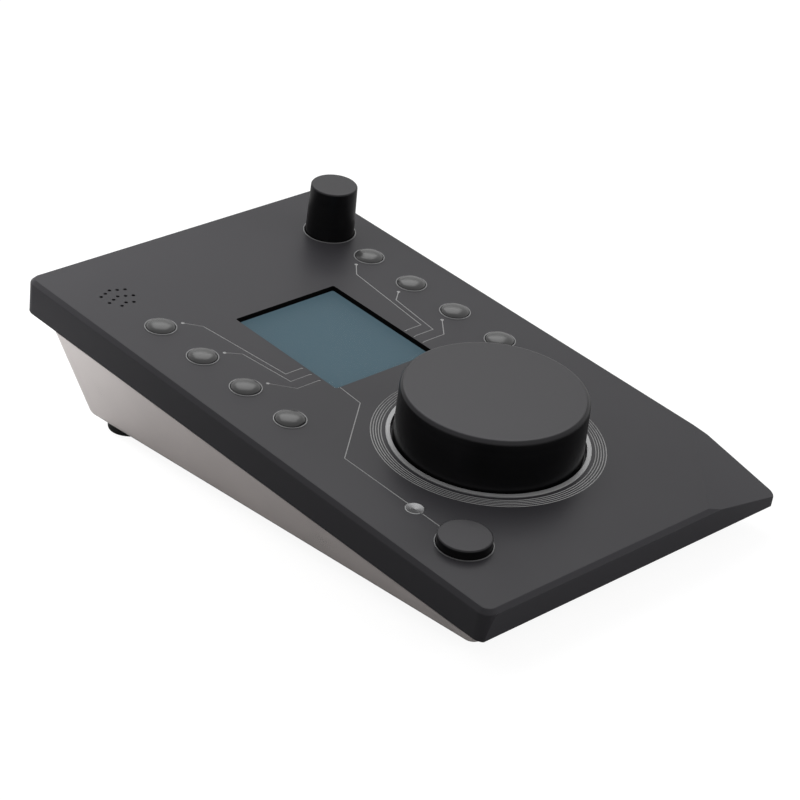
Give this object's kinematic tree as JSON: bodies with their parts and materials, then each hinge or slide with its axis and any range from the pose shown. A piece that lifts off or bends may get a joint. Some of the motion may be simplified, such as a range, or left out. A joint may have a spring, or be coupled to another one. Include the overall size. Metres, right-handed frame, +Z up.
{
  "type": "desktop remote control",
  "caption": "Sloped desktop remote for audio gear with a large volume knob, a small push-and-turn knob, push buttons and a screen.",
  "frame": {"origin": "on the ground, under the middle of the whole object", "axes": "+Z up, +Y from the low front edge to the high rear edge, +X to the user's right"},
  "size_m": [0.14, 0.2442, 0.0756],
  "materials": {
    "plate_metal": "fine bead-blasted dark grey anodising",
    "base_metal": "satin warm silver anodising",
    "knob_metal": "dark grey anodising, turned",
    "button_metal": "satin dark grey, domed",
    "bare_metal": "turned, bare",
    "lens_glass": "clear over a blue-grey screen",
    "foot_rubber": "matt black",
    "screw_steel": "zinc-plated",
    "shaft_steel": "ground",
    "ballast_steel": "raw plate",
    "module_metal": "rolled sheet",
    "jack_metal": "shielded housing",
    "insert_brass": "turned",
    "board_green": "solder mask",
    "switch_plastic": "moulded",
    "plunger_plastic": "moulded, natural",
    "ribbon_film": "flexible film",
    "cable_plastic": "jacketed flat cable",
    "grille_fabric": "acoustic cloth"
  },
  "bodies": {
    "root": {"top_plate": "plate_metal", "base_shell": "base_metal", "case_screws": "screw_steel", "foot_front_left": "foot_rubber", "foot_front_right": "foot_rubber", "foot_rear_left": "foot_rubber", "foot_rear_right": "foot_rubber", "foot_screws": "screw_steel", "ballast_plate": "ballast_steel", "ballast_screws": "screw_steel", "display_lens": "lens_glass", "display_module": "module_metal", "display_bracket": "module_metal", "display_screws": "screw_steel", "display_ribbon": "ribbon_film", "control_board": "board_green", "board_screws": "screw_steel", "connector_board": "board_green", "connector_screws": "screw_steel", "network_jack": "jack_metal", "board_cable": "cable_plastic", "volume_ring": "bare_metal", "select_ring": "bare_metal", "talk_ring": "bare_metal", "button_rings": "bare_metal", "volume_encoder": "switch_plastic", "volume_washer": "shaft_steel", "volume_nut": "insert_brass", "select_encoder": "switch_plastic", "select_washer": "shaft_steel", "select_nut": "insert_brass", "talk_switch": "switch_plastic", "microphone_capsule": "module_metal", "microphone_boot": "foot_rubber", "grille_cloth": "grille_fabric", "accent_disc": "bare_metal", "switch_left_1": "switch_plastic", "switch_left_2": "switch_plastic", "switch_left_3": "switch_plastic", "switch_left_4": "switch_plastic", "switch_right_1": "switch_plastic", "switch_right_2": "switch_plastic", "switch_right_3": "switch_plastic", "switch_right_4": "switch_plastic"},
    "volume_turn": {"volume_knob": "knob_metal", "volume_insert": "insert_brass", "volume_shaft": "shaft_steel"},
    "select_push": {"select_plunger": "plunger_plastic"},
    "select_turn": {"select_knob": "knob_metal", "select_insert": "insert_brass", "select_shaft": "shaft_steel"},
    "talk_push": {"talk_button": "knob_metal"},
    "button_left_1": {"button_left_1": "button_metal"},
    "button_left_2": {"button_left_2": "button_metal"},
    "button_left_3": {"button_left_3": "button_metal"},
    "button_left_4": {"button_left_4": "button_metal"},
    "button_right_1": {"button_right_1": "button_metal"},
    "button_right_2": {"button_right_2": "button_metal"},
    "button_right_3": {"button_right_3": "button_metal"},
    "button_right_4": {"button_right_4": "button_metal"}
  },
  "joints": [
    {"name": "volume_turn", "type": "hinge", "parent": "root", "child": "volume_turn", "pos_m": [0, -0.05031, 0.03186], "axis": [0, -0.1599, 0.9871], "continuous": true},
    {"name": "select_push", "type": "slide", "parent": "root", "child": "select_push", "axis": [0, 0.1599, -0.9871], "range_m": [0, 0.0005], "stiffness_N_per_m": 6000},
    {"name": "select_turn", "type": "hinge", "parent": "select_push", "child": "select_turn", "pos_m": [0.05, 0.08957, 0.05452], "axis": [0, -0.1599, 0.9871], "continuous": true},
    {"name": "talk_push", "type": "slide", "parent": "root", "child": "talk_push", "axis": [0, 0.1599, -0.9871], "range_m": [0, 0.0012], "stiffness_N_per_m": 1500},
    {"name": "button_left_1_push", "type": "slide", "parent": "root", "child": "button_left_1", "axis": [0, 0.1599, -0.9871], "range_m": [0, 0.0006], "stiffness_N_per_m": 2500},
    {"name": "button_left_2_push", "type": "slide", "parent": "root", "child": "button_left_2", "axis": [0, 0.1599, -0.9871], "range_m": [0, 0.0006], "stiffness_N_per_m": 2500},
    {"name": "button_left_3_push", "type": "slide", "parent": "root", "child": "button_left_3", "axis": [0, 0.1599, -0.9871], "range_m": [0, 0.0006], "stiffness_N_per_m": 2500},
    {"name": "button_left_4_push", "type": "slide", "parent": "root", "child": "button_left_4", "axis": [0, 0.1599, -0.9871], "range_m": [0, 0.0006], "stiffness_N_per_m": 2500},
    {"name": "button_right_1_push", "type": "slide", "parent": "root", "child": "button_right_1", "axis": [0, 0.1599, -0.9871], "range_m": [0, 0.0006], "stiffness_N_per_m": 2500},
    {"name": "button_right_2_push", "type": "slide", "parent": "root", "child": "button_right_2", "axis": [0, 0.1599, -0.9871], "range_m": [0, 0.0006], "stiffness_N_per_m": 2500},
    {"name": "button_right_3_push", "type": "slide", "parent": "root", "child": "button_right_3", "axis": [0, 0.1599, -0.9871], "range_m": [0, 0.0006], "stiffness_N_per_m": 2500},
    {"name": "button_right_4_push", "type": "slide", "parent": "root", "child": "button_right_4", "axis": [0, 0.1599, -0.9871], "range_m": [0, 0.0006], "stiffness_N_per_m": 2500}
  ]
}
